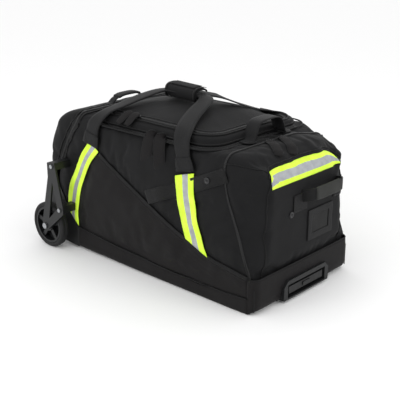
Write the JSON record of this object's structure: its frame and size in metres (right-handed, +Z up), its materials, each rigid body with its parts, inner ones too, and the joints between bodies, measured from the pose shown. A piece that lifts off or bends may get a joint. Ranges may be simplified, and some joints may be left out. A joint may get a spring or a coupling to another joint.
{
  "type": "wheeled equipment kit bag",
  "caption": "Soft rectangular equipment bag with a moulded wheeled base, telescopic pull handle, zipped domed lid, arched end caps and reflective strips.",
  "frame": {"origin": "on the floor, under the middle of the bag, on the centre skid rail's underside", "axes": "+X along the bag to the end with the trolley handle, +Y across the bag to the far side, +Z up"},
  "size_m": [0.871, 0.5548, 0.508],
  "materials": {
    "cordura": "heavy woven polyester",
    "pocket_fabric": "coated woven polyester",
    "reflective_tape": "yellow and silver retroreflective tape",
    "bracket_plastic": "satin",
    "axle_steel": "turned",
    "wheel_rubber": "matt",
    "rim_plastic": "satin",
    "bush_plastic": "plain",
    "webbing": "ribbed webbing",
    "base_plastic": "textured",
    "housing_plastic": "textured",
    "board_plastic": "smooth sheet",
    "zip_chain": "coil zip",
    "window_film": "clear film",
    "grip_rubber": "ribbed",
    "wrap_fabric": "padded",
    "bolt_steel": "black",
    "tube_aluminium": "anodised",
    "grip_plastic": "satin",
    "button_plastic": "satin",
    "slider_metal": "black nickel"
  },
  "bodies": {
    "bag": {"side_panel_near": "cordura", "side_pocket_near": "pocket_fabric", "side_tapes_near": "reflective_tape", "bracket_near": "bracket_plastic", "bracket_posts_near": "bracket_plastic", "wheel_axle_near": "axle_steel", "side_panel_far": "cordura", "side_pocket_far": "pocket_fabric", "side_tapes_far": "reflective_tape", "bracket_far": "bracket_plastic", "bracket_posts_far": "bracket_plastic", "wheel_axle_far": "axle_steel", "base_tray": "base_plastic", "skid_rails": "base_plastic", "wheel_housing": "base_plastic", "handle_housing": "housing_plastic", "base_board": "board_plastic", "end_sill": "pocket_fabric", "divider_left": "board_plastic", "divider_right": "board_plastic", "top_deck": "cordura", "main_zip": "zip_chain", "top_grab_right": "webbing", "bracket_bolts": "bolt_steel", "outer_tubes": "tube_aluminium", "tube_anchor": "base_plastic"},
    "wheel_near": {"tyre_near": "wheel_rubber", "rim_near": "rim_plastic", "bush_near": "bush_plastic"},
    "wheel_far": {"tyre_far": "wheel_rubber", "rim_far": "rim_plastic", "bush_far": "bush_plastic"},
    "trolley_middle": {"middle_tubes": "tube_aluminium"},
    "trolley_inner": {"inner_tubes": "tube_aluminium", "trolley_grip": "grip_plastic"},
    "button": {"release_button": "button_plastic"},
    "lid": {"lid_shell": "cordura", "lid_pocket": "pocket_fabric", "pocket_zip": "zip_chain"},
    "cap_right": {"end_cap_right": "cordura", "end_tape": "reflective_tape", "id_window_frame": "pocket_fabric", "id_window_film": "window_film", "end_grab_handle": "webbing", "end_handle_grip": "grip_rubber"},
    "cap_left": {"end_cap_left": "cordura", "top_grab_left": "webbing"},
    "carry_near": {"carry_handle_near": "webbing", "handle_wrap": "wrap_fabric"},
    "carry_far": {"carry_handle_far": "webbing"},
    "main_zip_left": {"main_zip_left_slider": "slider_metal", "main_zip_left_puller": "webbing"},
    "main_zip_right": {"main_zip_right_slider": "slider_metal", "main_zip_right_puller": "webbing"},
    "pocket_zip_left": {"pocket_zip_left_slider": "slider_metal", "pocket_zip_left_puller": "webbing"},
    "pocket_zip_right": {"pocket_zip_right_slider": "slider_metal", "pocket_zip_right_puller": "webbing"}
  },
  "joints": [
    {"name": "wheel_near_spin", "type": "hinge", "parent": "bag", "child": "wheel_near", "pos_m": [-0.35, -0.252, 0.07], "axis": [0, 1, 0], "continuous": true},
    {"name": "wheel_far_spin", "type": "hinge", "parent": "bag", "child": "wheel_far", "pos_m": [-0.35, 0.252, 0.07], "axis": [0, 1, 0], "continuous": true},
    {"name": "trolley_stage_1", "type": "slide", "parent": "bag", "child": "trolley_middle", "axis": [1, 0, 0], "range_m": [0, 0.23]},
    {"name": "trolley_stage_2", "type": "slide", "parent": "trolley_middle", "child": "trolley_inner", "axis": [1, 0, 0], "range_m": [0, 0.23]},
    {"name": "button_press", "type": "slide", "parent": "trolley_inner", "child": "button", "axis": [-1, 0, 0], "range_m": [0, 0.003], "stiffness_N_per_m": 500, "springref_m": -0.002},
    {"name": "lid_hinge", "type": "hinge", "parent": "bag", "child": "lid", "pos_m": [0.0175, 0.196, 0.408], "axis": [-1, 0, 0], "range_deg": [0, 100], "deforming": ["carry_handle_near", "carry_handle_far", "handle_wrap"]},
    {"name": "carry_near_swing", "type": "hinge", "parent": "bag", "child": "carry_near", "pos_m": [0, -0.218, 0.34], "axis": [1, 0, 0], "range_deg": [0, 176]},
    {"name": "carry_far_swing", "type": "hinge", "parent": "bag", "child": "carry_far", "pos_m": [0, 0.218, 0.34], "axis": [-1, 0, 0], "range_deg": [0, 176]},
    {"name": "cap_right_hinge", "type": "hinge", "parent": "bag", "child": "cap_right", "pos_m": [0.402, 0, 0.082], "axis": [0, 1, 0], "range_deg": [0, 80]},
    {"name": "cap_left_hinge", "type": "hinge", "parent": "bag", "child": "cap_left", "pos_m": [-0.406, 0, 0.25], "axis": [0, -1, 0], "range_deg": [0, 90]},
    {"name": "main_zip_left_slide", "type": "slide", "parent": "bag", "child": "main_zip_left", "axis": [1, 0, 0], "range_m": [-0.154, 0.0015]},
    {"name": "main_zip_right_slide", "type": "slide", "parent": "bag", "child": "main_zip_right", "axis": [1, 0, 0], "range_m": [-0.0015, 0.032]},
    {"name": "pocket_zip_left_slide", "type": "slide", "parent": "lid", "child": "pocket_zip_left", "axis": [1, 0, 0], "range_m": [-0.034, 0.0015]},
    {"name": "pocket_zip_right_slide", "type": "slide", "parent": "lid", "child": "pocket_zip_right", "axis": [1, 0, 0], "range_m": [-0.0015, 0.126]}
  ],
  "couplings": [
    {"joint": "carry_near_swing", "follows": "lid_hinge", "ratio": 1.75},
    {"joint": "carry_far_swing", "follows": "lid_hinge", "ratio": 1.75}
  ]
}
